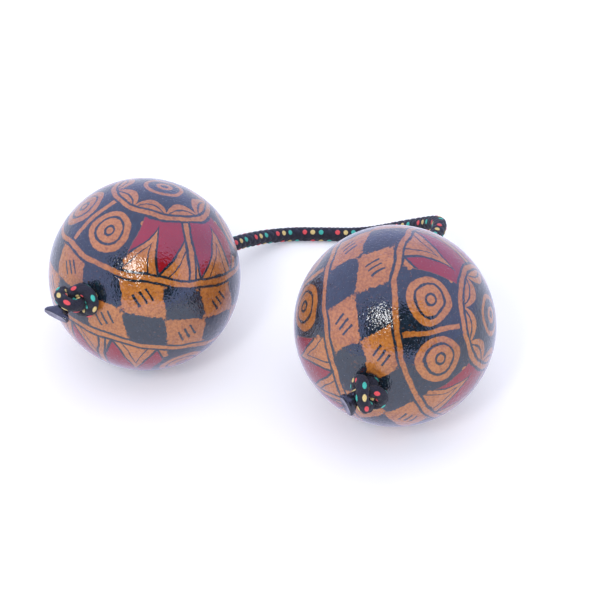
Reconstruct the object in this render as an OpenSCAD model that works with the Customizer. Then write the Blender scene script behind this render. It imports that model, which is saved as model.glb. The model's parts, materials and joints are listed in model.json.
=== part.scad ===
// Kashaka: two small gourd balls half filled with seeds, strung on one braided cord.
// Millimetres, +Z up. The balls rest on the plane Z = 0, side by side along X. Both knotted
// ends of the cord face forward (-Y), and the free cord between the balls lies behind them.

/* [Gourds] */
// Radius of the left gourd at its widest
left_radius = 27.2; // [24:0.1:31]
// Radius of the right gourd at its widest
right_radius = 27.8; // [24:0.1:31]
// Thickness of the dried gourd wall
wall = 2.5; // [1.8:0.1:3.5]
// How far the stem and blossom ends are drawn in towards the middle
pole_dimple = 0.6; // [0.2:0.1:1.2]
// Depth of the small worn flat that each gourd rests on
foot_depth = 0.4; // [0.25:0.05:0.8]
// Distance between the centres of the two gourds
gourd_spacing = 73.3; // [66:0.1:84]

/* [Cord] */
// Diameter of the free braided cord
cord_diameter = 4; // [3.4:0.1:4.4]
// Room between the cord and its drilled hole, all round
hole_clearance = 0.3; // [0.2:0.05:0.6]
// Straight stretch of cord that stands out of each rear hole
cord_lead = 6; // [4:0.5:8]
// Room between the free cord and the surface that it lies on
floor_clearance = 0.1; // [0.05:0.05:0.3]

/* [Hole directions] */
// Compass direction of the left gourd's rear hole, from +X towards +Y
left_azimuth = 70; // [60:1:80]
// How far the left gourd's rear hole points below level
left_dip = 22; // [16:1:28]
// Compass direction of the right gourd's rear hole, from +X towards +Y
right_azimuth = 92; // [84:1:98]
// How far the right gourd's rear hole points below level
right_dip = 7; // [2:1:12]

/* [Stopper knots] */
// Diameter of the cord where the knot squeezes it
knot_strand = 2.5; // [2.1:0.1:2.6]
// Distance between the middles of two strands that lie side by side in the knot
knot_pitch = 2.9; // [2.8:0.1:3.6]
// Room between the knot and the gourd that it stops
knot_seat = 0.2; // [0.1:0.05:0.6]
// Turn of the left knot about its hole
left_knot_turn = 165; // [0:5:355]
// Turn of the right knot about its hole
right_knot_turn = 100; // [0:5:355]

/* [Sealed cord ends] */
// Length of the melted and flattened end of the cord
tip_length = 3.2; // [2.4:0.1:4.5]
// Width of the left end, which was pressed the harder
left_tip_width = 8.4; // [6:0.1:9.5]
// Width of the right end
right_tip_width = 6.6; // [5:0.1:8]
// Thickness of both flattened ends
tip_thickness = 2.6; // [2:0.1:3.2]
// Size of the bevel round an end's flat face
tip_bevel = 0.5; // [0.2:0.1:0.8]

/* [Seeds] */
// Width of one seed
seed_width = 5; // [4:0.1:6]
// Thickness of one seed
seed_thickness = 3; // [2:0.1:3.6]
// Room between a seed and its neighbours, and between a seed and the wall
seed_clearance = 0.4; // [0.3:0.05:0.8]
// Rings of seeds around the lowest one in each heap
seed_rings = 2; // [1:1:3]

/* [Hidden] */
$fn = 96;

cord_radius = cord_diameter / 2;
hole_radius = cord_radius + hole_clearance;
tube_sides = 10;
path_steps = 2;
knot_steps = 3;

// Free cord between the two straight leads, seen from above: out of the left gourd, down to the
// surface, along it, and up again in a wide turn to the right gourd. The third number is the height
// of the cord's underside above its lowest place.
ROUTE = [
    [-24.2, 35, 9.9], [-22, 41, 7.3], [-19.5, 47, 4.3], [-16.5, 52, 1.9], [-13, 55.6, 0.4],
    [-9, 57.7, 0], [-4, 59.2, 0], [1, 60.7, 0], [6, 62.2, 0],
    [11, 63.5, 0.7], [16, 64.4, 2.3], [21, 64.4, 4.8], [26, 63, 8.2], [30.6, 60.4, 12.2],
    [34, 56.6, 16], [35.5, 51.4, 18.6], [35.6, 45.6, 19.8], [35.4, 39.6, 20.4]
];
// Places in ROUTE where the bending stretch of the cord starts and ends
BEND_START = 4;
BEND_END = 8;

// Overhand stopper knot in strand pitches, with the third number pointing out of the hole: up the
// middle, over in an arch, down, once round the standing part, through the loop, and out as a tail.
// The body of the knot lies a little to one side of the hole.
KNOT = [
    [0, 0, 0], [-0.02, 0, 0.3], [-0.22, 0, 0.75], [-0.66, -0.05, 1.2], [-1, -0.05, 1.7], [-1, -0.05, 2.3],
    [-0.55, 0, 2.78], [0.15, 0.05, 2.85], [0.77, 0.1, 2.5], [1.15, 0.2, 1.85], [1.08, 0.5, 1.15],
    [0.55, 0.98, 0.7], [-0.3, 1.18, 0.52], [-1.15, 0.95, 0.5], [-1.7, 0.25, 0.62], [-1.6, -0.6, 0.8],
    [-0.95, -1.15, 1], [-0.18, -1.08, 1.25], [0.26, -0.4, 1.56], [0.13, 0.3, 1.72], [0.02, 0.8, 2.03],
    [-0.06, 1.06, 2.5]
];

function unit(v) = v / norm(v);
function direction(azimuth, dip) = [cos(dip) * cos(azimuth), cos(dip) * sin(azimuth), -sin(dip)];

// Distance from a gourd's centre to a revolved surface, in a direction with this cosine to the hole
function reach(profile_radius, cosine) =
    pole_dimple * sqrt(1 - cosine * cosine) + sqrt(pow(profile_radius, 2) - pow(pole_dimple * cosine, 2));
function outer_profile(radius) = radius - pole_dimple;
function inner_profile(radius) = outer_profile(radius) - wall;

// Distance along the hole from a gourd's centre to the rim of the hole
function rim(radius) = sqrt(pow(outer_profile(radius), 2) - pow(hole_radius - pole_dimple, 2));
function centre_height(radius, dip) = reach(outer_profile(radius), sin(dip)) - foot_depth;

middle_shift = (right_radius - left_radius) / 2;
left_centre = [-gourd_spacing / 2 - middle_shift, 0, centre_height(left_radius, left_dip)];
right_centre = [gourd_spacing / 2 - middle_shift, 0, centre_height(right_radius, right_dip)];
left_direction = direction(left_azimuth, left_dip);
right_direction = direction(right_azimuth, right_dip);
left_rim = left_centre + rim(left_radius) * left_direction;
right_rim = right_centre + rim(right_radius) * right_direction;

// Catmull-Rom curve through the points, with so many steps to each stretch
function curve_point(a, b, c, d, t) =
    (2 * b + (c - a) * t + (2 * a - 5 * b + 4 * c - d) * t * t + (3 * b - 3 * c + d - a) * t * t * t) / 2;
function curve(p, steps) = concat(
    [for (i = [0:len(p) - 2], k = [0:steps - 1])
        curve_point(
            i == 0 ? 2 * p[0] - p[1] : p[i - 1],
            p[i],
            p[i + 1],
            i == len(p) - 2 ? 2 * p[i + 1] - p[i] : p[i + 2],
            k / steps
        )],
    [p[len(p) - 1]]
);

// Directions along a path, and directions square to it that are carried along without twist
function tangents(p) = [for (i = [0:len(p) - 1]) unit(p[min(i + 1, len(p) - 1)] - p[max(i - 1, 0)])];
function carried(along, side, i = 0) =
    let (next = unit(side - (side * along[i]) * along[i]))
    i == len(along) - 1 ? [next] : concat([next], carried(along, next, i + 1));

// Rings of a tube: one oval for each point of the path, with its half width and half thickness
function rings(p, halves, side) =
    let (along = tangents(p), across = carried(along, side))
    [for (i = [0:len(p) - 1])
        let (through = cross(along[i], across[i]))
        [for (k = [0:tube_sides - 1])
            let (a = 360 * k / tube_sides)
            p[i] + halves[i][0] * cos(a) * across[i] + halves[i][1] * sin(a) * through]];

// Closed skin of triangles over a list of rings
module skin(tube) {
    last = len(tube) - 1;
    n = tube_sides;
    polyhedron(
        points = [for (ring = tube) each ring],
        faces = concat(
            [for (i = [0:last - 1], k = [0:n - 1]) [i * n + k, (i + 1) * n + k, i * n + (k + 1) % n]],
            [for (i = [0:last - 1], k = [0:n - 1])
                [i * n + (k + 1) % n, (i + 1) * n + k, (i + 1) * n + (k + 1) % n]],
            [for (k = [1:n - 2]) [0, k, k + 1]],
            [for (k = [1:n - 2]) [last * n, last * n + k + 1, last * n + k]]
        )
    );
}

function part_of(list, first, last) = [for (i = [first:last]) list[i]];

// The whole free cord, from the end of one straight lead to the other
lowest = cord_radius + floor_clearance;
route_points = concat(
    [left_rim, left_rim + cord_lead * left_direction],
    [for (p = ROUTE) [p[0], p[1], p[2] + lowest]],
    [right_rim + cord_lead * right_direction, right_rim]
);
route_path = curve(route_points, path_steps);
route_rings = rings(
    route_path,
    [for (p = route_path) [cord_radius, cord_radius]],
    [0, 0, 1]
);
bend_first = (BEND_START + 2) * path_steps;
bend_last = (BEND_END + 2) * path_steps;
route_last = len(route_path) - 1;

// The knot at its own hole: the cord enters at full size and is squeezed within the first pitch
knot_path = curve([for (p = KNOT) p * knot_pitch + [0, 0, knot_seat]], knot_steps);
function squeezed(out) = max(knot_strand / 2, cord_radius - (cord_radius - knot_strand / 2) * out / knot_pitch);
knot_halves = [for (i = [0:len(knot_path) - 1])
    let (half = i > 3 * knot_steps ? knot_strand / 2 : squeezed(knot_path[i][2])) [half, half]];
knot_last = len(knot_path) - 1;

// Least gap between strands that are more than a strand and three quarters apart along the knot
function run_length(p, i, j) = i >= j ? 0 : norm(p[i + 1] - p[i]) + run_length(p, i + 1, j);
knot_gaps = [for (i = [0:knot_last - 1], j = [i + 1:knot_last])
    if (run_length(knot_path, i, j) > 1.75 * knot_pitch)
        norm(knot_path[i] - knot_path[j]) - knot_halves[i][0] - knot_halves[j][0]];
echo(str("least gap in a stopper knot: ", min(knot_gaps), " mm"));

// The sealed end carries on from the knot's tail and widens into a flat blade
tip_along = unit(knot_path[knot_last] - knot_path[knot_last - 1]);
tip_side = unit(cross([0, 0, 1], tip_along));
tip_face = tip_length - tip_bevel;
tip_stations = [0, 0.4 * tip_face, 0.8 * tip_face, tip_face, tip_length];
tip_path = [for (s = tip_stations) knot_path[knot_last] + s * tip_along];
function tip_halves(width) = [
    [knot_strand / 2, knot_strand / 2],
    [(knot_strand + width) / 4, (knot_strand + tip_thickness) / 4],
    [width / 2, tip_thickness / 2],
    [width / 2, tip_thickness / 2],
    [width / 2 - tip_bevel, tip_thickness / 2 - tip_bevel]
];

// Turns a piece that stands along Z so that it stands along a gourd's hole
module at_hole(centre, azimuth, dip) {
    translate(centre) rotate([0, 90 + dip, azimuth]) children();
}

// Places a piece on the front rim, with Z pointing out of the gourd
module on_front_rim(centre, azimuth, dip, radius, turn) {
    at_hole(centre, azimuth, dip)
        translate([0, 0, -rim(radius)]) rotate([180, 0, 0]) rotate([0, 0, turn + 90]) children();
}

// Hollow gourd, drilled through from pole to pole for the cord
module shell(radius) {
    rotate_extrude()
        difference() {
            translate([pole_dimple, 0]) circle(r = outer_profile(radius));
            translate([pole_dimple, 0]) circle(r = inner_profile(radius));
            translate([-2 * radius, -2 * radius]) square([2 * radius + hole_radius, 4 * radius]);
        }
}

// Gourd in its resting place, with the worn flat that it stands on
module resting_shell(centre, azimuth, dip, radius) {
    difference() {
        at_hole(centre, azimuth, dip) shell(radius);
        translate([centre[0] - radius, -radius, -radius]) cube([2 * radius, 2 * radius, radius]);
    }
}

// One flat round seed with a round edge
module seed() {
    half = seed_thickness / 2;
    rotate_extrude($fn = 36) {
        translate([0, -half]) square([seed_width / 2 - half, seed_thickness]);
        intersection() {
            translate([seed_width / 2 - half, 0]) circle(r = half);
            translate([0, -half]) square([seed_width, seed_thickness]);
        }
    }
}

// Heap of seeds that lie on the lowest part of a gourd's inner wall, in rings round the lowest seed
module heap(centre, hole, radius) {
    flat_reach = inner_profile(radius) - seed_thickness / 2 - seed_clearance;
    step = 2 * asin((seed_width + seed_clearance) / 2 / flat_reach);
    for (ring = [0:seed_rings]) {
        tilt = ring * step;
        count = max(1, floor(360 * sin(tilt) / step));
        for (k = [0:count - 1]) {
            turn = 360 * (k + ring / 4) / count;
            below = [-sin(tilt) * cos(turn), -sin(tilt) * sin(turn), -cos(tilt)];
            seat = reach(inner_profile(radius), below * hole) - seed_thickness / 2 - seed_clearance;
            translate(centre) rotate([0, tilt, turn]) translate([0, 0, -seat]) seed();
        }
    }
}

// Straight cord through a gourd, from the knot to the rear rim
module core(radius) {
    front = rim(radius) + knot_seat;
    translate([0, 0, -front]) cylinder(r = cord_radius, h = front + rim(radius));
}

module gourd_shell_left() {
    color("peru") resting_shell(left_centre, left_azimuth, left_dip, left_radius);
}

module gourd_shell_right() {
    color("peru") resting_shell(right_centre, right_azimuth, right_dip, right_radius);
}

module seeds_left() {
    color("saddlebrown") heap(left_centre, left_direction, left_radius);
}

module seeds_right() {
    color("saddlebrown") heap(right_centre, right_direction, right_radius);
}

module cord_core_left() {
    color([0.1, 0.1, 0.12]) at_hole(left_centre, left_azimuth, left_dip) core(left_radius);
}

module cord_core_right() {
    color([0.1, 0.1, 0.12]) at_hole(right_centre, right_azimuth, right_dip) core(right_radius);
}

module cord_left_run() {
    color([0.1, 0.1, 0.12]) skin(part_of(route_rings, 0, bend_first));
}

module cord_bend() {
    color([0.1, 0.1, 0.12]) skin(part_of(route_rings, bend_first, bend_last));
}

module cord_right_run() {
    color([0.1, 0.1, 0.12]) skin(part_of(route_rings, bend_last, route_last));
}

module knot() {
    skin(rings(knot_path, knot_halves, [1, 0, 0]));
}

module tip(width) {
    skin(rings(tip_path, tip_halves(width), tip_side));
}

module stopper_knot_left() {
    color([0.1, 0.1, 0.12])
        on_front_rim(left_centre, left_azimuth, left_dip, left_radius, left_knot_turn) knot();
}

module stopper_knot_right() {
    color([0.1, 0.1, 0.12])
        on_front_rim(right_centre, right_azimuth, right_dip, right_radius, right_knot_turn) knot();
}

module sealed_tip_left() {
    color([0.05, 0.05, 0.06])
        on_front_rim(left_centre, left_azimuth, left_dip, left_radius, left_knot_turn)
            tip(left_tip_width);
}

module sealed_tip_right() {
    color([0.05, 0.05, 0.06])
        on_front_rim(right_centre, right_azimuth, right_dip, right_radius, right_knot_turn)
            tip(right_tip_width);
}

gourd_shell_left();
gourd_shell_right();
seeds_left();
seeds_right();
cord_core_left();
cord_core_right();
cord_left_run();
cord_bend();
cord_right_run();
stopper_knot_left();
stopper_knot_right();
sealed_tip_left();
sealed_tip_right();
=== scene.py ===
import json
from itertools import accumulate

import bpy
import numpy as np
from mathutils import Matrix


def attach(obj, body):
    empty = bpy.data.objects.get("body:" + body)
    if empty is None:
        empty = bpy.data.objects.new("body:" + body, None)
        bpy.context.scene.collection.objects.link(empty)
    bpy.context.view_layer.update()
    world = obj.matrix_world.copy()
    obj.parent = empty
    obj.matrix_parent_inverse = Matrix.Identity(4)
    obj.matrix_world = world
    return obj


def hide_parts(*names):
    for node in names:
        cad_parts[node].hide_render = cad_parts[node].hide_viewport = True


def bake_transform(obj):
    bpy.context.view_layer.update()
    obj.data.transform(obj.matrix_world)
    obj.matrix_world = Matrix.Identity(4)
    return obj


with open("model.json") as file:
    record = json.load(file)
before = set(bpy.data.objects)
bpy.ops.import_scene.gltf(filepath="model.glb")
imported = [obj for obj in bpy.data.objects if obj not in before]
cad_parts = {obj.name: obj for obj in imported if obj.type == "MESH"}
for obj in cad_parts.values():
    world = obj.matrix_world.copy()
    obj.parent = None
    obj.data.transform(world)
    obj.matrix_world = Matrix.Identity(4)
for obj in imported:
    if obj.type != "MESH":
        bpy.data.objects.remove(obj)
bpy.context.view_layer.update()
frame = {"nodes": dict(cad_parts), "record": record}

# The camera looks down on the instrument from the right of its middle, at the photograph's own
# angle and distance. Its lens is long, so both gourds keep their true proportions.
VIEW_AZIMUTH = np.radians(17.51)
VIEW_ELEVATION = np.radians(42.0)
VIEW_DISTANCE = 0.62
VIEW_LENS = 133.6
VIEW_MIDDLE = np.array([0.0, 0.0, 0.027])
VIEW_SHIFT = 0.00861
view_back = np.array([
    np.sin(VIEW_AZIMUTH) * np.cos(VIEW_ELEVATION),
    -np.cos(VIEW_AZIMUTH) * np.cos(VIEW_ELEVATION),
    np.sin(VIEW_ELEVATION),
])
view_right = np.array([np.cos(VIEW_AZIMUTH), np.sin(VIEW_AZIMUTH), 0.0])
view_up = np.cross(view_back, view_right)
view_aim = VIEW_MIDDLE + VIEW_SHIFT * view_right


def facing(place, right, up, back):
    """A placing matrix whose three axes are the given right, up and back directions."""
    turned = np.eye(4)
    turned[:3] = np.column_stack([right, up, back, place])
    return Matrix(turned.tolist())


camera_data = bpy.data.cameras.new("camera")
camera_data.lens = VIEW_LENS
camera_data.sensor_width = 36.0
camera = bpy.data.objects.new("camera", camera_data)
camera.matrix_world = facing(view_aim + VIEW_DISTANCE * view_back, view_right, view_up, view_back)
bpy.context.scene.collection.objects.link(camera)
bpy.context.scene.camera = camera
bpy.context.scene.view_settings.view_transform = "Standard"

# Two small dried gourds, emptied through the holes drilled at their two ends. Each is a thin,
# nearly round wall, painted by hand in black, red and the gourd's own brown, and lacquered thickly.
LEFT_RADIUS = 0.0272
RIGHT_RADIUS = 0.0278
WALL = 0.0025
POLE_DIMPLE = 0.0006
HOLE_RADIUS = 0.0023
RIM_ROUNDING = 0.0005
OUTSIDE_STEPS = 190
RIM_STEPS = 6
INSIDE_STEPS = 60
ROUND_STEPS = 300
UNEVENNESS = 0.00013
EVEN_RIM = 0.004
EVEN_FADE = 0.008
TABLE_GAP = 0.00001
joints = {joint["name"]: joint for joint in frame["record"]["behaviour"]["joints"]}
left_centre = np.array(joints["left_gourd_spin"]["pos_m"])
left_hole = np.array(joints["left_gourd_spin"]["axis"])
right_centre = np.array(joints["right_gourd_spin"]["pos_m"])
right_hole = np.array(joints["right_gourd_spin"]["axis"])


def unit(vectors):
    """Vectors scaled to a length of one."""
    return vectors / np.linalg.norm(vectors, axis=-1, keepdims=True)


def mesh_piece(name, points, faces, corners=None):
    """A smooth mesh object at the origin from points and lists of faces. The faces are turned so
    that the volume they enclose, a sum of the tetrahedra from each triangle to the origin, is
    positive. Corners, where given, are the faces' places on the UV map."""
    middle = points - points.mean(axis=0)
    volume = sum(
        np.einsum("ij,ij->", middle[f[:, 0]], np.cross(middle[f[:, k]], middle[f[:, k + 1]]))
        for f in faces
        for k in range(1, f.shape[1] - 1)
    )
    if volume < 0:
        faces = [f[:, ::-1] for f in faces]
        corners = [c[:, ::-1] for c in corners] if corners else None
    mesh = bpy.data.meshes.new(name)
    mesh.from_pydata(points.tolist(), [], [face for f in faces for face in f.tolist()])
    mesh.polygons.foreach_set("use_smooth", np.ones(len(mesh.polygons), bool))
    if corners:
        layer = mesh.uv_layers.new(name="lay")
        layer.data.foreach_set("uv", np.concatenate([c.reshape(-1) for c in corners]))
    mesh.update()
    piece = bpy.data.objects.new(name, mesh)
    bpy.context.scene.collection.objects.link(piece)
    return piece


def grid_faces(rows, columns, closed_rows=False):
    """Four-sided faces between neighbours of a grid whose columns close on themselves. Closed rows
    join the last row to the first as well."""
    row, column = np.meshgrid(
        np.arange(rows if closed_rows else rows - 1), np.arange(columns), indexing="ij"
    )
    next_row, next_column = (row + 1) % rows, (column + 1) % columns
    faces = np.stack(
        [
            row * columns + column,
            row * columns + next_column,
            next_row * columns + next_column,
            next_row * columns + column,
        ],
        axis=-1,
    )
    return faces.reshape(-1, 4)


def cap_faces(rows, columns):
    """Triangles that close the first and the last row of such a grid, each from a point of its own:
    the two points that follow the grid's."""
    k = np.arange(columns)
    after = (k + 1) % columns
    hub = np.full(columns, rows * columns)
    last = (rows - 1) * columns
    return np.vstack([np.stack([hub, after, k], 1), np.stack([hub + 1, last + k, last + after], 1)])


def gourd_section(radius):
    """Half section of a drilled ball: distances from the hole's axis, places along it, and how much
    of the outside's unevenness each point takes. Outside and inside are arcs about a point one
    dimple off the axis, the rims are quarter rounds, and the bores join the two arcs."""
    outside, inside = radius - POLE_DIMPLE, radius - POLE_DIMPLE - WALL
    first = np.arcsin((HOLE_RADIUS + RIM_ROUNDING - POLE_DIMPLE) / outside)
    angle = np.linspace(first, np.pi - first, OUTSIDE_STEPS)
    out_across, out_along = POLE_DIMPLE + outside * np.sin(angle), outside * np.cos(angle)
    turn = np.linspace(0, np.pi / 2, RIM_STEPS)[1:]
    rim_across = HOLE_RADIUS + RIM_ROUNDING * (1 - np.sin(turn))
    rim_along = out_along[-1] + RIM_ROUNDING * (1 - np.cos(turn))
    first = np.arcsin((HOLE_RADIUS - POLE_DIMPLE) / inside)
    angle = np.linspace(np.pi - first, first, INSIDE_STEPS)
    in_across, in_along = POLE_DIMPLE + inside * np.sin(angle), inside * np.cos(angle)
    across = np.concatenate([out_across, rim_across, in_across, rim_across[::-1]])
    along = np.concatenate([out_along, rim_along, in_along, -rim_along[::-1]])
    share = np.zeros(len(across))
    share[:OUTSIDE_STEPS] = np.clip((out_across - EVEN_RIM) / EVEN_FADE, 0, 1)
    return across, along, share


def gourd_shell(name, centre, hole, radius, phase):
    """The gourd's section turned once round its hole. A few slow sine waves over the direction from
    the centre swell it by a tenth of a millimetre, and its foot is worn flat on the table."""
    across, along, share = gourd_section(radius)
    side = unit(np.cross(hole, [0.0, 0.0, 1.0]))
    around = np.linspace(0, 2 * np.pi, ROUND_STEPS, endpoint=False)[None, :, None]
    spoke = np.cos(around) * side + np.sin(around) * np.cross(hole, side)
    points = across[:, None, None] * spoke + along[:, None, None] * hole
    x, y, z = np.moveaxis(unit(points), -1, 0)
    swell = (
        0.5 * np.sin(2.1 * x + 3.0 * y + phase)
        + 0.3 * np.sin(4.2 * z - 2.7 * x + 1.7 * phase)
        + 0.2 * np.sin(7.0 * y + 5.0 * z + 2.3 * phase)
    )
    points = points + (UNEVENNESS * share[:, None] * swell)[..., None] * unit(points) + centre
    points[..., 2] = np.maximum(points[..., 2], TABLE_GAP)
    return mesh_piece(name, points.reshape(-1, 3), [grid_faces(len(across), ROUND_STEPS, True)])


class Shade:
    """A value in a material. Python's operators on it add Math nodes, and node() adds any other."""

    def __init__(self, tree, socket=None):
        self.tree = tree
        self.socket = socket

    def node(self, kind, settings=None, inputs=None, out=0):
        """Add a node, set its settings, then give its sockets their values or links."""
        made = self.tree.nodes.new(kind)
        for name, value in (settings or {}).items():
            setattr(made, name, value)
        for name, value in (inputs or {}).items():
            if isinstance(value, Shade):
                self.tree.links.new(value.socket, made.inputs[name])
            else:
                made.inputs[name].default_value = value
        return Shade(self.tree, made.outputs[out] if made.outputs else None)

    def math(self, operation, *values, clamp=False):
        settings = {"operation": operation, "use_clamp": clamp}
        return self.node("ShaderNodeMath", settings, dict(enumerate(values)))

    def vector(self, operation, *values, out=0):
        return self.node("ShaderNodeVectorMath", {"operation": operation}, dict(enumerate(values)), out)

    def __add__(self, other):
        return self.math("ADD", self, other)

    def __sub__(self, other):
        return self.math("SUBTRACT", self, other)

    def __rsub__(self, other):
        return self.math("SUBTRACT", other, self)

    def __mul__(self, other):
        return self.math("MULTIPLY", self, other)

    def __truediv__(self, other):
        return self.math("DIVIDE", self, other)

    def __pow__(self, other):
        return self.math("POWER", self, other)

    def __or__(self, other):
        """Either of two masks."""
        return self.math("MAXIMUM", self, other)

    def __abs__(self):
        return self.math("ABSOLUTE", self)

    __radd__ = __add__
    __rmul__ = __mul__

    def fraction(self):
        return self.math("FRACT", self)

    def above(self, limit, soft):
        """A mask: 1 above the limit and 0 below it, with a soft edge of that width."""
        return self.math("MULTIPLY_ADD", self, 1 / soft, 0.5 - limit / soft, clamp=True)

    def below(self, limit, soft):
        return self.math("MULTIPLY_ADD", self, -1 / soft, 0.5 + limit / soft, clamp=True)

    def line(self, middle, half, soft):
        """A mask of a line of that half width, where the value is near the middle."""
        return abs(self - middle).below(half, soft)

    def noise(self, place, scale, detail=2.0, rough=0.5, out=0):
        inputs = {"Vector": place, "Scale": scale, "Detail": detail, "Roughness": rough}
        return self.node("ShaderNodeTexNoise", None, inputs, out)

    def mix(self, share, first, second):
        """The first colour, or the second as far as the share says."""
        return self.node("ShaderNodeMix", {"data_type": "RGBA"}, {0: share, 6: first, 7: second}, 2)


def new_finish(name):
    """An empty node material, and the Shade that nodes are added from."""
    finish = bpy.data.materials.new(name)
    finish.use_nodes = True
    finish.node_tree.nodes.clear()
    return finish, Shade(finish.node_tree)


GOURD_SKIN = (0.50, 0.185, 0.040, 1.0)
GOURD_SKIN_DARK = (0.26, 0.078, 0.014, 1.0)
PAINT_RED = (0.290, 0.005, 0.012, 1.0)
PAINT_RED_DARK = (0.190, 0.004, 0.008, 1.0)
# The two blacks are a dark teal paint, but their blue tint is partly a painted reflection of the bluish
# surround in the lacquer.
BLACK_PAINT_AND_PAINTED_BLUE_REFLECTION = (0.007, 0.012, 0.019, 1.0)
THIN_BLACK_PAINT_AND_PAINTED_BLUE_REFLECTION = (0.013, 0.029, 0.048, 1.0)
LACQUER_HAZE = (0.86, 0.86, 1.0, 1.0)
DEGREES = 57.29578
CHECK_HALF = 19.0
CHECK_LENGTH = 360.0 / 14
CHECK_LEAN = 0.35
STROKE_GAP = 4.6
STROKE_HALF = 3.6
STROKE_COSINE = 0.88
STROKE_SINE = 0.47
BORDER = 4.5
PANEL_END = 58.0
PANEL_LENGTH = 90.0
PANEL_TURN = 25.0
PANEL_SHIFT = 50.0
TOOTH_LENGTH = 30.0
TOOTH_HEIGHT = 30.0
TOOTH_LEAN = 0.3
TOOTH_INSET = 11.0
ROUND_LENGTH = 45.0
ROUND_SQUEEZE = 0.757
ROUND_RADIUS = 13.5
RINGS_RADIUS = 12.0
RING_GAP = 6.0
DOT_PLACE = (17.0, 12.0)
DOT_RADIUS = 1.5
SCALLOP_LENGTH = 45.0
SCALLOP_DEPTH = 9.0
SCALLOP_INSET = 4.5
CAP_RING_GAP = 7.0
CAP_RINGS_RADIUS = 14.0
BURNT_COSINE = 0.9935
PEN = 0.8
SOFT = 0.5


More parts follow.
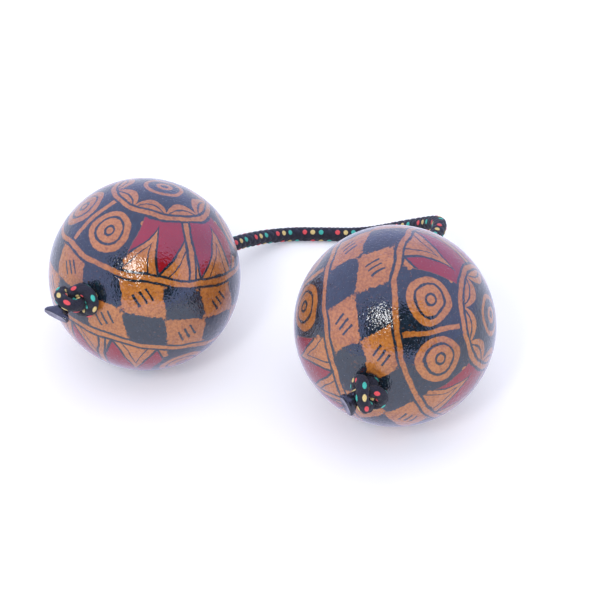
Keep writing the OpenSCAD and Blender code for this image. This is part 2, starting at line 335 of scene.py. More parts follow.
def painted_lacquer(name, centre, front, north, seed):
    """Painted and lacquered gourd. Latitude and longitude, in degrees about the pattern's own axis,
    come from the direction to the gourd's centre, with a wandering hand added. A check band runs
    round the middle, bordered by double lines, with panels of sawteeth and of rounds on both sides
    of it, and scallops round the two caps. Colour is skin, red over it, and black over both."""
    finish, root = new_finish(name)
    place = root.node("ShaderNodeTexCoord", out="Object")
    shifted = root.vector("ADD", place, (seed, 0.0, 0.0))
    hand = root.noise(shifted, 110.0, 1.0, out=1)
    tremor = root.noise(shifted, 1100.0, 1.0, out=1)
    wander = root.vector("MULTIPLY_ADD", hand, (0.0022,) * 3, (-0.0011,) * 3)
    shiver = root.vector("MULTIPLY_ADD", tremor, (0.0004,) * 3, (-0.0002,) * 3)
    outward = root.vector("SUBTRACT", place, tuple(centre))
    drawn = root.vector("NORMALIZE", root.vector("ADD", root.vector("ADD", outward, wander), shiver))
    x = root.vector("DOT_PRODUCT", drawn, tuple(front), out="Value")
    y = root.vector("DOT_PRODUCT", drawn, tuple(np.cross(north, front)), out="Value")
    z = root.vector("DOT_PRODUCT", drawn, tuple(north), out="Value")
    latitude = root.math("ARCSINE", z) * DEGREES
    longitude = root.math("ARCTAN2", y, x) * DEGREES
    belt = abs(latitude)
    pressure = (root.noise(shifted, 420.0, 1.0) - 0.5) * 0.9

    def drawn_line(value, middle, half=PEN, soft=SOFT):
        """A pen line where the value is near the middle, thicker where the hand pressed harder."""
        return (abs(value - middle) + pressure).below(half, soft)

    # The check band: leaning cells in two rows, each brown one with three short strokes
    row = latitude / CHECK_HALF + 1.0
    column = (longitude + CHECK_LEAN * latitude) / CHECK_LENGTH
    waves = root.math("SINE", row * np.pi) * root.math("SINE", column * np.pi)
    brush_edge = (root.noise(shifted, 900.0, 2.0, 0.7) - 0.5) * 0.35
    brown_cell = (waves + brush_edge).above(0.0, 0.06)
    cell_x = (column.fraction() - 0.5) * CHECK_LENGTH
    cell_y = (row.fraction() - 0.5) * CHECK_HALF
    mark_x = cell_x * STROKE_COSINE + cell_y * STROKE_SINE
    mark_y = cell_y * STROKE_COSINE - cell_x * STROKE_SINE
    stroke_x = abs(abs(mark_x) - STROKE_GAP / 2) - STROKE_GAP / 2
    strokes = (abs(stroke_x) + pressure).below(PEN, SOFT) * abs(mark_y).below(STROKE_HALF, SOFT)
    in_band = belt.below(CHECK_HALF, SOFT)
    black = in_band * ((1 - brown_cell) | strokes)

    # Double border lines along the check band and round the caps
    edge = CHECK_HALF + BORDER
    cap = PANEL_END + BORDER
    borders = drawn_line(belt, CHECK_HALF) | drawn_line(belt, edge)
    borders = borders | drawn_line(belt, PANEL_END) | drawn_line(belt, cap)

    # Four panels on each side of the band, parted by double lines, red and black in turn
    south = latitude.below(0.0, 1.0)
    panel = longitude + south * PANEL_SHIFT + PANEL_TURN
    across_panel = ((panel / PANEL_LENGTH + 0.5).fraction() - 0.5) * PANEL_LENGTH
    across_panel = across_panel * root.math("COSINE", latitude / DEGREES)
    in_panels = belt.above(edge, SOFT) * belt.below(PANEL_END, SOFT)
    borders = borders | in_panels * drawn_line(abs(across_panel), BORDER / 2)
    in_panels = in_panels * abs(across_panel).above(BORDER / 2, SOFT)
    first_of_two = abs((panel / (2 * PANEL_LENGTH)).fraction() - 0.5).below(0.25, 0.005)
    red_panel = in_panels * first_of_two
    black_panel = in_panels * (1 - first_of_two)

    # Sawteeth: leaning brown teeth with black outlines and an inner line, on the red panels
    tooth = abs(((panel - TOOTH_LEAN * belt) / TOOTH_LENGTH).fraction() * 2.0 - 1.0)
    tooth_height = (edge + TOOTH_HEIGHT) - TOOTH_HEIGHT * tooth**0.85 - belt
    red = red_panel * tooth_height.below(0.0, 1.0)
    outlines = drawn_line(tooth_height, 0.0, 1.7, 1.0)
    black = black | red_panel * (outlines | drawn_line(tooth_height, TOOTH_INSET, 1.0, 1.0))

    # Rounds: two brown rounds on each black panel, each with two rings, and dots between them
    round_x = ((panel / ROUND_LENGTH).fraction() - 0.5) * ROUND_LENGTH * ROUND_SQUEEZE
    round_y = belt - (edge + PANEL_END) / 2
    reach = root.math("SQRT", round_x * round_x + round_y * round_y)
    rings = drawn_line((reach / RING_GAP).fraction() * RING_GAP, RING_GAP / 2, 0.75)
    rings = rings * reach.below(RINGS_RADIUS, 0.8)
    dot_x, dot_y = DOT_PLACE[0] - abs(round_x), DOT_PLACE[1] - abs(round_y)
    panel_dots = root.math("SQRT", dot_x * dot_x + dot_y * dot_y).below(DOT_RADIUS, SOFT)
    ground = reach.above(ROUND_RADIUS, SOFT) * (1 - panel_dots)
    black = black | black_panel * (ground | rings)

    # Caps: brown scallops round a black middle that carries brown rings
    from_pole = 90.0 - belt
    bow = (longitude / SCALLOP_LENGTH).fraction() * 2.0 - 1.0
    scallop = from_pole - (90.0 - cap) + SCALLOP_DEPTH * root.math("SQRT", 1.0 - bow * bow)
    cap_rings = (from_pole / CAP_RING_GAP).fraction().line(0.5, 0.18, 0.08)
    in_cap = belt.above(cap, SOFT)
    middle = scallop.below(0.0, SOFT) * (1 - cap_rings * from_pole.below(CAP_RINGS_RADIUS, 1.0))
    black = black | borders | in_cap * (middle | drawn_line(scallop, SCALLOP_INSET, 0.6))
    burnt = abs(x).above(BURNT_COSINE, 0.003)

    # Wear and the gourd's own freckled skin
    broad = root.noise(shifted, 110.0, 3.0)
    freckle = root.noise(shifted, 1500.0, 2.0, 0.6)
    speck = root.noise(shifted, 620.0, 3.0, 0.7)
    streak = root.noise(root.vector("MULTIPLY", shifted, (1.0, 0.16, 1.0)), 1300.0, 2.0)
    chips = freckle.above(0.66, 0.08) * broad.above(0.5, 0.2)
    freckles = freckle.above(0.52, 0.16) * 0.45 + speck.above(0.60, 0.1) * 0.4
    skin_share = broad.above(0.5, 0.5) * 0.45 + freckles
    skin = root.mix(skin_share, GOURD_SKIN, GOURD_SKIN_DARK)
    red_tone = root.mix(broad.above(0.5, 0.6), PAINT_RED, PAINT_RED_DARK)
    # Black paint, thinner along the brush streaks; its blue tint is partly painted reflection.
    black_paint_and_painted_reflection = root.mix(streak.above(0.55, 0.3) * 0.8, BLACK_PAINT_AND_PAINTED_BLUE_REFLECTION, THIN_BLACK_PAINT_AND_PAINTED_BLUE_REFLECTION)
    colour = root.mix(red * (1 - chips * 0.35), skin, red_tone)
    colour = root.mix((black | burnt) * (1 - chips * 0.3), colour, black_paint_and_painted_reflection)

    # Thick lacquer, with the small waves, wrinkles and dust that break up its reflections
    drawn_out = root.vector("MULTIPLY", shifted, (1.0, 1.0, 0.5))
    wrinkle = abs(root.noise(drawn_out, 900.0, 2.0) - 0.5)
    dust = root.noise(shifted, 2400.0, 1.0).above(0.72, 0.1)
    height = root.noise(shifted, 260.0, 1.0) * 0.6 + wrinkle * 1.6 + dust * 0.5
    bump = root.node(
        "ShaderNodeBump", None, {"Strength": 1.0, "Distance": 0.00014, "Height": height}
    )
    lacquer = root.node(
        "ShaderNodeBsdfPrincipled",
        None,
        {
            "Base Color": colour,
            "Roughness": 0.05 + broad.above(0.55, 0.5) * 0.07,
            "IOR": 1.75,
            "Sheen Weight": 0.75,
            "Sheen Roughness": 0.30,
            "Sheen Tint": LACQUER_HAZE,
            "Normal": bump,
        },
    )
    root.node("ShaderNodeOutputMaterial", None, {"Surface": lacquer})
    return finish


def level_right(hole):
    """The level direction to the right of a front hole, for someone who looks into it."""
    return unit(np.cross([0.0, 0.0, 1.0], -hole))


left_north = np.cross(-left_hole, level_right(left_hole))
RIGHT_PATTERN_TURN = np.radians(20.0)
right_side = level_right(right_hole)
right_north = (
    np.cos(RIGHT_PATTERN_TURN) * right_side
    + np.sin(RIGHT_PATTERN_TURN) * np.cross(-right_hole, right_side)
)
for hand, centre, hole, radius, north, phase, seed in (
    ("left", left_centre, left_hole, LEFT_RADIUS, left_north, 0.4, 0.0),
    ("right", right_centre, right_hole, RIGHT_RADIUS, right_north, 2.9, 1.0),
):
    gourd = gourd_shell(f"{hand}_gourd", centre, hole, radius, phase)
    gourd.data.materials.append(painted_lacquer(f"painted_gourd_{hand}", centre, -hole, north, seed))
    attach(gourd, f"gourd_{hand}")
    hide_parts(f"gourd_shell_{hand}")

# Flat round seeds lie loose in each gourd and make its rattle. They are dried and left as they
# grew, a dull brown mottled darker, and nothing fixes them.
SEED_BROWN = (0.16, 0.07, 0.028, 1.0)
SEED_DARK = (0.05, 0.022, 0.010, 1.0)
seed_skin, root = new_finish("dried_seed")
seed_place = root.node("ShaderNodeTexCoord", out="Object")
seed_mottle = root.noise(seed_place, 420.0, 3.0)
seed_grain = root.noise(seed_place, 2600.0, 2.0)
seed_tone = seed_mottle.above(0.5, 0.4) * 0.7 + seed_grain.above(0.55, 0.2) * 0.3
seed_bump = root.node(
    "ShaderNodeBump", None, {"Strength": 0.5, "Distance": 0.0001, "Height": seed_grain}
)
seed_surface = root.node(
    "ShaderNodeBsdfPrincipled",
    None,
    {
        "Base Color": root.mix(seed_tone, SEED_BROWN, SEED_DARK),
        "Roughness": 0.42 + seed_mottle * 0.2,
        "Normal": seed_bump,
    },
)
root.node("ShaderNodeOutputMaterial", None, {"Surface": seed_surface})
for seeds in ("seeds_left", "seeds_right"):
    seed_heap = frame["nodes"][seeds]
    seed_heap.data.materials.clear()
    seed_heap.data.materials.append(seed_skin)

# One braided cord goes through both gourds. It is plaited from eight black yarns, four each way.
# Three of those that lean one way show flecks, of red, yellow and green.
CORD_CORE = 0.00188
BRAID_RISE = 0.00034
BRAID_PITCH = 0.010
YARNS_EACH_WAY = 4
CORD_SIDES = 48
CORD_STEP = 0.00025
INNER_STATIONS = 220
FILAMENTS = 5.0
YARN_BLACK = (0.006, 0.006, 0.011, 1.0)
YARN_BLACK_WORN = (0.020, 0.020, 0.034, 1.0)
FLECK_LONG = 0.58
FLECK_ROUND = 0.46
YARN_RED = (0.80, 0.075, 0.095, 1.0)
YARN_YELLOW = (0.75, 0.58, 0.24, 1.0)
YARN_GREEN = (0.05, 0.50, 0.42, 1.0)


def smooth_curve(points, steps):
    """Catmull-Rom curve: a cubic between each two points, whose slope at a point is half the way
    from the point before it to the point after it."""
    ends = np.vstack([2 * points[0] - points[1], points, 2 * points[-1] - points[-2]])
    a, b, c, d = (ends[k : len(ends) - 3 + k, None] for k in range(4))
    t = np.linspace(0, 1, steps, endpoint=False)[None, :, None]
    curve = b + ((c - a) * t + (2 * a - 5 * b + 4 * c - d) * t**2 + (3 * b - 3 * c + d - a) * t**3) / 2
    return np.vstack([curve.reshape(-1, 3), points[-1]])


def arc_lengths(curve):
    """Distance along a curve to each of its points."""
    return np.concatenate([[0.0], np.cumsum(np.linalg.norm(np.diff(curve, axis=0), axis=1))])


def at_distances(curve, distances):
    """The curve's points at these distances along it."""
    reached = arc_lengths(curve)
    return np.stack([np.interp(distances, reached, curve[:, k]) for k in range(3)], axis=1)


def carried_frames(path, side):
    """Directions along a path, and two square to it. The side is carried from station to station:
    what of it lies along the path is taken away each time, so the tube doesn't twist."""
    along = unit(np.gradient(path, axis=0))

    def carry(last, direction):
        return unit(last - direction * last.dot(direction))

    across = np.array(list(accumulate(along, carry, initial=np.asarray(side, float)))[1:])
    return along, across, np.cross(along, across)


def braid_rise(turn, lay):
    """Height of the braid where a point is so many turns round and so many pitches along. Two sets
    of ribbons cross: the sum of their whole numbers says which is on top, and each ribbon is round
    across its width and dips at both ends where it goes under the next."""
    one, other = YARNS_EACH_WAY * (turn - lay), YARNS_EACH_WAY * (turn + lay)
    first_on_top = (np.floor(one) + np.floor(other)) % 2 == 0
    across_one = np.abs(np.cos(np.pi * (one % 1 - 0.5)))
    across_other = np.abs(np.cos(np.pi * (other % 1 - 0.5)))
    wide = np.where(first_on_top, across_one, across_other)
    long = np.where(first_on_top, across_other, across_one)
    return wide**0.55 * long**0.4


def braided_tube(name, path, frames, core, rise, first=0.0):
    """A braided cord along a path: at each station a ring whose radius is the core's plus the braid's
    rise, pressed flat where it lies on the table. Its UV map holds turns round the cord and pitches
    along it, and both ends are closed."""
    along, across, through = frames
    lay = (first + arc_lengths(path)) / BRAID_PITCH
    turn = np.arange(CORD_SIDES) / CORD_SIDES
    angle = 2 * np.pi * turn[None, :, None]
    spoke = np.cos(angle) * across[:, None] + np.sin(angle) * through[:, None]
    core = np.broadcast_to(core, len(path))
    radius = core[:, None] + rise * braid_rise(turn[None], lay[:, None])
    rings = path[:, None] + radius[..., None] * spoke
    rings[..., 2] = np.maximum(rings[..., 2], TABLE_GAP)
    points = np.vstack([rings.reshape(-1, 3), path[:1], path[-1:]])
    stations = len(path)
    quads = grid_faces(stations, CORD_SIDES)
    first_turn = np.tile(turn, stations - 1)
    next_turn = first_turn + 1 / CORD_SIDES
    low, high = np.repeat(lay[:-1], CORD_SIDES), np.repeat(lay[1:], CORD_SIDES)
    quad_corners = np.stack(
        [
            np.stack([first_turn, low], axis=-1),
            np.stack([next_turn, low], axis=-1),
            np.stack([next_turn, high], axis=-1),
            np.stack([first_turn, high], axis=-1),
        ],
        axis=1,
    )
    caps = cap_faces(stations, CORD_SIDES)
    cap_corners = np.zeros((2 * CORD_SIDES, 3, 2))
    cap_corners[:CORD_SIDES, :, 1] = lay[0]
    cap_corners[CORD_SIDES:, :, 1] = lay[-1]
    return mesh_piece(name, points, [quads, caps], [quad_corners, cap_corners])


# Colour follows the yarns on the UV map: whole numbers across the ribbons tell which yarn shows
braid_yarn, root = new_finish("braided_yarn")
braid_map = root.node("ShaderNodeUVMap", {"uv_map": "lay"})
braid_turn = root.node("ShaderNodeSeparateXYZ", None, {0: braid_map})
braid_along = Shade(root.tree, braid_turn.socket.node.outputs[1])
yarn_one = (braid_turn - braid_along) * YARNS_EACH_WAY
yarn_other = (braid_turn + braid_along) * YARNS_EACH_WAY
yarn_number = root.math("FLOOR", yarn_one)
on_top = 1 - root.math("FLOORED_MODULO", yarn_number + root.math("FLOOR", yarn_other), 2.0)
yarn_number = root.math("FLOORED_MODULO", yarn_number, float(YARNS_EACH_WAY))
across_one, across_other = yarn_one.fraction() - 0.5, yarn_other.fraction() - 0.5
fleck_long = (across_other - across_one) / FLECK_LONG
fleck_round = (across_other + across_one) / FLECK_ROUND
fleck = on_top * (fleck_long * fleck_long + fleck_round * fleck_round).below(1.0, 0.3)
braid_place = root.node("ShaderNodeTexCoord", out="Object")
yarn_fuzz = root.noise(braid_place, 5200.0, 2.0)
yarn_wear = root.noise(braid_place, 300.0, 2.0)
strand_across = on_top * across_one + (1 - on_top) * across_other
filaments = root.math("SINE", strand_across * (2 * np.pi * FILAMENTS))
colour = root.mix(yarn_fuzz.above(0.56, 0.2) * 0.8, YARN_BLACK, YARN_BLACK_WORN)
for number, dye in enumerate((YARN_GREEN, YARN_YELLOW, YARN_RED)):
    colour = root.mix(fleck * yarn_number.line(float(number), 0.5, 0.01), colour, dye)
colour = root.mix(filaments.above(0.6, 0.8) * 0.22, colour, YARN_BLACK)
braid_bump = root.node(
    "ShaderNodeBump",
    None,
    {"Strength": 0.6, "Distance": 0.00012, "Height": filaments * 0.5 + yarn_fuzz * 1.2},
)
braid_surface = root.node(
    "ShaderNodeBsdfPrincipled",
    None,
    {
        "Base Color": colour,
        "Roughness": 0.55 + yarn_wear * 0.2,
        "Sheen Weight": 0.08,
        "Normal": braid_bump,
    },
)
root.node("ShaderNodeOutputMaterial", None, {"Surface": braid_surface})


def rim_distance(radius):
    """Distance along the hole from a gourd's centre to its rim, by the right-angled triangle of the
    section's arc."""
    return np.sqrt((radius - POLE_DIMPLE) ** 2 - (HOLE_RADIUS - POLE_DIMPLE) ** 2)


left_rim, right_rim = rim_distance(LEFT_RADIUS), rim_distance(RIGHT_RADIUS)
KNOT_SEAT = 0.0002
both_sides = (
    ("left", left_centre, left_hole, left_rim),
    ("right", right_centre, right_hole, right_rim),
)
for hand, centre, hole, rim in both_sides:
    distance = np.linspace(-rim - KNOT_SEAT, rim, INNER_STATIONS)
    path = centre + distance[:, None] * hole
    frames = carried_frames(path, (0, 0, 1))
    inner_cord = braided_tube(f"{hand}_inner_cord", path, frames, CORD_CORE, BRAID_RISE)
    inner_cord.data.materials.append(braid_yarn)
    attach(inner_cord, f"cord_{hand}")
    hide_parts(f"cord_core_{hand}")

# The free cord between the gourds comes straight out of both rear holes, sinks to the table on the
# left, lies along it, and rises in a wide turn on the right. It is limp, and is made as two pieces
# that meet in the middle.
CORD_LEAD = 0.006
CORD_LOWEST = 0.0021
ROUTE = np.array([
    (-0.0242, 0.0350, 0.0099), (-0.0220, 0.0410, 0.0073), (-0.0195, 0.0470, 0.0043),
    (-0.0165, 0.0520, 0.0019), (-0.0130, 0.0556, 0.0004), (-0.0090, 0.0577, 0.0),
    (-0.0040, 0.0592, 0.0), (0.0010, 0.0607, 0.0), (0.0060, 0.0622, 0.0),
    (0.0110, 0.0635, 0.0007), (0.0160, 0.0644, 0.0023), (0.0210, 0.0644, 0.0048),
    (0.0260, 0.0630, 0.0082), (0.0306, 0.0604, 0.0122), (0.0340, 0.0566, 0.0160),
    (0.0355, 0.0514, 0.0186), (0.0356, 0.0456, 0.0198), (0.0354, 0.0396, 0.0204),
]) + (0.0, 0.0, CORD_LOWEST)
ROUTE_SPLIT = 8
left_exit = left_centre + left_rim * left_hole
right_exit = right_centre + right_rim * right_hole
route = np.vstack([
    left_exit, left_exit + CORD_LEAD * left_hole,
    ROUTE,
    right_exit + CORD_LEAD * right_hole, right_exit,
])
LEAD_POINTS = 2
ROUTE_STEPS = 24
route_curve = smooth_curve(route, ROUTE_STEPS)
route_reach = arc_lengths(route_curve)
split_reach = route_reach[(ROUTE_SPLIT + LEAD_POINTS) * ROUTE_STEPS]
left_count = int(split_reach / CORD_STEP)
right_count = int((route_reach[-1] - split_reach) / CORD_STEP)
left_reach = np.linspace(0, split_reach, left_count + 1)
right_reach = np.linspace(split_reach, route_reach[-1], right_count + 1)
route_path = at_distances(route_curve, np.concatenate([left_reach, right_reach[1:]]))
route_frames = carried_frames(route_path, (0, 0, 1))
left_path, right_path = route_path[: left_count + 1], route_path[left_count:]
left_frames = [f[: left_count + 1] for f in route_frames]
right_frames = [f[left_count:] for f in route_frames]
left_cord = braided_tube("left_free_cord", left_path, left_frames, CORD_CORE, BRAID_RISE)
right_cord = braided_tube("right_free_cord", right_path, right_frames, CORD_CORE, BRAID_RISE, split_reach)
for free_cord in (left_cord, right_cord):
    free_cord.data.materials.append(braid_yarn)
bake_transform(left_cord)
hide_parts("cord_left_run", "cord_bend")
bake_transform(right_cord)
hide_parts("cord_right_run")

# An overhand knot, pulled tight against each front hole, stops the gourd from sliding off. The cord
# goes up out of the hole, over, once round its own standing part and out through the loop.
KNOT_PITCH = 0.0029
KNOT_CORE = 0.00148
KNOT_RISE = 0.00036
KNOT_STEPS = 40
KNOT_TURNS = {"left": np.radians(165.0), "right": np.radians(100.0)}
KNOT = np.array([
    (0, 0, 0), (-0.02, 0, 0.3), (-0.22, 0, 0.75), (-0.66, -0.05, 1.2), (-1, -0.05, 1.7),
    (-1, -0.05, 2.3), (-0.55, 0, 2.78), (0.15, 0.05, 2.85), (0.77, 0.1, 2.5), (1.15, 0.2, 1.85),
    (1.08, 0.5, 1.15), (0.55, 0.98, 0.7), (-0.3, 1.18, 0.52), (-1.15, 0.95, 0.5), (-1.7, 0.25, 0.62),
    (-1.6, -0.6, 0.8), (-0.95, -1.15, 1), (-0.18, -1.08, 1.25), (0.26, -0.4, 1.56), (0.13, 0.3, 1.72),
    (0.02, 0.8, 2.03), (-0.06, 1.06, 2.5),
])


def knot_axes(hole, turn):
    """Three directions for a knot: two across the front hole, turned about it, and one out of it."""
    level = level_right(hole)
    low = -np.cross(-hole, level)
    turn = turn + np.pi / 2
    return np.array([
        np.cos(turn) * low + np.sin(turn) * level,
        -np.sin(turn) * low + np.cos(turn) * level,
        -hole,
    ])


knot_ends = {}
for hand, centre, hole, rim in both_sides:
    axes = knot_axes(hole, KNOT_TURNS[hand])
    knot_points = (KNOT * KNOT_PITCH + (0, 0, KNOT_SEAT)) @ axes + centre - rim * hole
    knot_curve = smooth_curve(knot_points, KNOT_STEPS)
    knot_reach = arc_lengths(knot_curve)
    distance = np.linspace(0, knot_reach[-1], int(knot_reach[-1] / CORD_STEP))
    path = at_distances(knot_curve, distance)
    frames = carried_frames(path, axes[0])
    squeeze = np.clip(distance / KNOT_PITCH, 0, 1)
    core = CORD_CORE + (KNOT_CORE - CORD_CORE) * squeeze
    knot = braided_tube(f"{hand}_knot", path, frames, core, KNOT_RISE)
    knot.data.materials.append(braid_yarn)
    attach(knot, f"cord_{hand}")
    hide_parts(f"stopper_knot_{hand}")
    knot_ends[hand] = (path[-1], frames[0][-1], unit(np.cross(-hole, frames[0][-1])))

# Each end of the cord is melted and pressed flat while it is hot, so that the braid can't run. The
# yarns fuse into a hard, shining black blade with a rounded rim and a nearly flat face, whose light
# lavender grey is partly the fused yarn's own grey and partly a painted shine.
TIP_LENGTH = 0.0032
TIP_WIDTHS = {"left": 0.0084, "right": 0.0066}
TIP_THICKNESS = 0.0026
TIP_BEVEL = 0.0005
TIP_SIDES = 72
TIP_STATIONS = 26
TIP_OVERLAP = 0.0006
TIP_FLARE = 0.75
TIP_ROOT = 0.7
TIP_LUMP = 0.05
TIP_SQUARENESS = 0.8
FACE_HOLLOW = 0.00012
MELT_BLACK = (0.007, 0.007, 0.012, 1.0)
MELT_GREY = (0.026, 0.026, 0.045, 1.0)
melted_yarn, root = new_finish("melted_yarn")
melt_place = root.node("ShaderNodeTexCoord", out="Object")
melt_cloud = root.noise(melt_place, 420.0, 3.0)
melt_grain = root.noise(melt_place, 2600.0, 2.0)
melt_bump = root.node(
    "ShaderNodeBump", None,
    {"Strength": 0.6, "Distance": 0.00012, "Height": melt_cloud + melt_grain * 0.2},
)
melt_surface = root.node(
    "ShaderNodeBsdfPrincipled",
    None,
    {
        "Base Color": root.mix(melt_cloud.above(0.5, 0.3), MELT_BLACK, MELT_GREY),
        "Roughness": 0.12 + melt_grain * 0.15,
        "IOR": 1.7,
        "Normal": melt_bump,
    },
)
root.node("ShaderNodeOutputMaterial", None, {"Surface": melt_surface})
# The pressed face's light lavender grey is partly its own grey and partly a painted shine.
PRESSED_GREY_AND_PAINTED_SHINE = (0.25, 0.235, 0.32, 1.0)
PRESSED_DARK = (0.045, 0.045, 0.065, 1.0)
pressed_face, root = new_finish("pressed_face")
press_place = root.node("ShaderNodeTexCoord", out="Object")
press_cloud = root.noise(press_place, 480.0, 3.0)
press_grain = root.noise(press_place, 3200.0, 2.0)
press_bump = root.node(
    "ShaderNodeBump", None,
    {"Strength": 0.5, "Distance": 0.0001, "Height": press_cloud + press_grain * 0.3},
)
press_surface = root.node(
    "ShaderNodeBsdfPrincipled",
    None,
    {
        "Base Color": root.mix(press_cloud.above(0.55, 0.3) * 0.8, PRESSED_GREY_AND_PAINTED_SHINE, PRESSED_DARK),
        "Roughness": 0.16 + press_grain * 0.15,
        "IOR": 1.6,
        "Normal": press_bump,
    },
)
root.node("ShaderNodeOutputMaterial", None, {"Surface": press_surface})


def sealed_tip(name, start, along, side, width):
    """A melted end as a lofted oval. Its half width grows and its half thickness shrinks by a smooth
    step along its length, and slow waves round it make it lumpy. Its last rings run over a bevel and
    across a face that is hollowed a little by a parabola."""
    station = np.linspace(-TIP_OVERLAP, TIP_LENGTH - TIP_BEVEL, TIP_STATIONS)
    share = np.clip(station / (TIP_FLARE * TIP_LENGTH), 0, 1)
    share = share**2 * (3 - 2 * share)
    root_half = KNOT_CORE + TIP_ROOT * KNOT_RISE
    half_wide = root_half + (width / 2 - root_half) * share
    half_thick = root_half + (TIP_THICKNESS / 2 - root_half) * share
    bevel = np.linspace(0, np.pi / 2, 7)[1:]
    station = np.concatenate([station, TIP_LENGTH - TIP_BEVEL * (1 - np.sin(bevel))])
    half_wide = np.concatenate([half_wide, width / 2 - TIP_BEVEL * (1 - np.cos(bevel))])
    half_thick = np.concatenate([half_thick, TIP_THICKNESS / 2 - TIP_BEVEL * (1 - np.cos(bevel))])
    inward = np.linspace(1, 0, 9)[1:-1]
    station = np.concatenate([station, TIP_LENGTH - FACE_HOLLOW * (1 - inward**2)])
    half_wide = np.concatenate([half_wide, half_wide[-1] * inward])
    half_thick = np.concatenate([half_thick, half_thick[-1] * inward])
    angle = np.linspace(0, 2 * np.pi, TIP_SIDES, endpoint=False)
    drift = station[:, None]
    lump = 1 + TIP_LUMP * np.sin(3 * angle + 900 * drift) * np.sin(5 * angle - 400 * drift)
    wide = np.sign(np.cos(angle)) * np.abs(np.cos(angle)) ** TIP_SQUARENESS
    thick = np.sign(np.sin(angle)) * np.abs(np.sin(angle)) ** TIP_SQUARENESS
    wide, thick = half_wide[:, None] * wide * lump, half_thick[:, None] * thick * lump
    rings = (
        start
        + station[:, None, None] * along
        + wide[..., None] * side
        + thick[..., None] * np.cross(along, side)
    )
    rows = len(station)
    ends = np.vstack([start + station[0] * along, start + station[-1] * along])
    points = np.vstack([rings.reshape(-1, 3), ends])
    piece = mesh_piece(name, points, [grid_faces(rows, TIP_SIDES), cap_faces(rows, TIP_SIDES)])
    on_face = np.zeros(len(piece.data.polygons), np.int32)
    on_face[(rows - len(inward) - 2) * TIP_SIDES : (rows - 1) * TIP_SIDES] = 1
    on_face[rows * TIP_SIDES :] = 1
    piece.data.materials.append(melted_yarn)
    piece.data.materials.append(pressed_face)
    piece.data.polygons.foreach_set("material_index", on_face)
    return piece


for hand, (start, along, side) in knot_ends.items():
    tip = sealed_tip(f"{hand}_sealed_end", start, along, side, TIP_WIDTHS[hand])
    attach(tip, f"cord_{hand}")
    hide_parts(f"sealed_tip_{hand}")

# The stage: a plain white table, an even white surround, a soft panel overhead, a low fill in front,
# a small lamp beside the camera, and a dark card behind the camera that only the lacquer's
# reflections show.
FLOOR_HALF = 3.0
FLOOR_WHITE = (0.90, 0.90, 0.92, 1.0)
BACKGROUND_WHITE = (1.0, 1.0, 1.0, 1.0)
SURROUND = (0.90, 0.92, 1.0, 1.0)
SURROUND_REFLECTED = (0.88, 0.97, 1.75, 1.0)
SURROUND_LIGHT = 0.94
TABLE_GLOW = (0.76, 0.80, 1.0, 1.0)
TABLE_REFLECTED = (0.0, 0.08, 1.0, 1.0)
TABLE_GLOW_STRENGTH = 0.23
LAMP_WHITE = (0.97, 0.98, 1.0)
CARD_BLACK = (0.03, 0.03, 0.03, 1.0)
CARD_HALF = (0.72, 0.48)
floor_grid = np.array([
    (-FLOOR_HALF, -FLOOR_HALF, 0.0), (FLOOR_HALF, -FLOOR_HALF, 0.0),
    (FLOOR_HALF, FLOOR_HALF, 0.0), (-FLOOR_HALF, FLOOR_HALF, 0.0),
])
floor_mesh = bpy.data.meshes.new("floor")
floor_mesh.from_pydata(floor_grid.tolist(), [], [(0, 1, 2, 3)])
floor = bpy.data.objects.new("floor", floor_mesh)
bpy.context.scene.collection.objects.link(floor)
floor_white, root = new_finish("white_table")
floor_matte = root.node("ShaderNodeBsdfDiffuse", None, {"Color": FLOOR_WHITE})
seen = root.node("ShaderNodeLightPath", out="Is Camera Ray")
mirrored = Shade(root.tree, seen.socket.node.outputs["Is Glossy Ray"])
glow_tone = root.mix(mirrored, TABLE_GLOW, TABLE_REFLECTED)
glow_strength = (seen | mirrored) * TABLE_GLOW_STRENGTH
glow = root.node("ShaderNodeEmission", None, {"Color": glow_tone, "Strength": glow_strength})
floor_surface = root.node("ShaderNodeAddShader", None, {0: floor_matte, 1: glow})
root.node("ShaderNodeOutputMaterial", None, {"Surface": floor_surface})
floor_mesh.materials.append(floor_white)

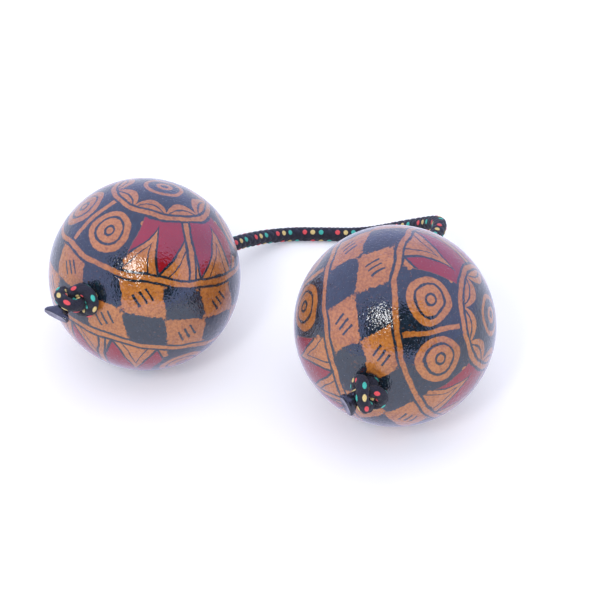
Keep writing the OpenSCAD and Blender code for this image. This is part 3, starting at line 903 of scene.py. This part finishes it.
world = bpy.data.worlds.new("surround")
world.use_nodes = True
world.node_tree.nodes.clear()
bpy.context.scene.world = world
root = Shade(world.node_tree)
seen = root.node("ShaderNodeLightPath", out="Is Camera Ray")
mirrored = Shade(root.tree, seen.socket.node.outputs["Is Glossy Ray"])
mirrored = mirrored | Shade(root.tree, seen.socket.node.outputs["Is Transmission Ray"])
sky = root.mix(seen, root.mix(mirrored, SURROUND, SURROUND_REFLECTED), BACKGROUND_WHITE)
light = SURROUND_LIGHT + (seen | mirrored) * (1 - SURROUND_LIGHT)
surround = root.node("ShaderNodeBackground", None, {"Color": sky, "Strength": light})
root.node("ShaderNodeOutputWorld", None, {"Surface": surround})

for name, direction, distance, width, height, power in (
    ("overhead_panel", np.array([0.06, 0.02, 1.0]), 0.8, 0.65, 0.65, 0.9),
    ("low_fill", np.array([-0.1, -0.95, 0.25]), 1.0, 1.0, 0.5, 1.4),
    ("front_lamp", 0.95 * view_back - 0.25 * view_right + 0.12 * view_up, 0.8, 0.12, 0.20, 1.4),
):
    lamp_data = bpy.data.lights.new(name, "AREA")
    lamp_data.shape = "RECTANGLE"
    lamp_data.size = width
    lamp_data.size_y = height
    lamp_data.energy = power
    lamp_data.color = LAMP_WHITE
    lamp = bpy.data.objects.new(name, lamp_data)
    lamp_back = unit(direction)
    lamp_right = unit(np.cross([0.0, 1.0, 0.0], lamp_back))
    lamp.matrix_world = facing(
        VIEW_MIDDLE + distance * lamp_back, lamp_right, np.cross(lamp_back, lamp_right), lamp_back
    )
    lamp.visible_glossy = name == "front_lamp"
    bpy.context.scene.collection.objects.link(lamp)

card_mesh = bpy.data.meshes.new("dark_card")
card_middle = VIEW_MIDDLE + 0.95 * view_back + 0.04 * view_right - 0.12 * view_up
card_corners = np.array([(-1, -1), (1, -1), (1, 1), (-1, 1)]) * CARD_HALF
card_points = card_middle + card_corners @ np.array([view_right, view_up])
card_mesh.from_pydata(card_points.tolist(), [], [(0, 1, 2, 3)])
card = bpy.data.objects.new("dark_card", card_mesh)
bpy.context.scene.collection.objects.link(card)
card_black, root = new_finish("dark_card")
card_matte = root.node("ShaderNodeBsdfDiffuse", None, {"Color": CARD_BLACK})
root.node("ShaderNodeOutputMaterial", None, {"Surface": card_matte})
card_mesh.materials.append(card_black)
card.visible_camera = False
card.visible_diffuse = False
card.visible_shadow = False
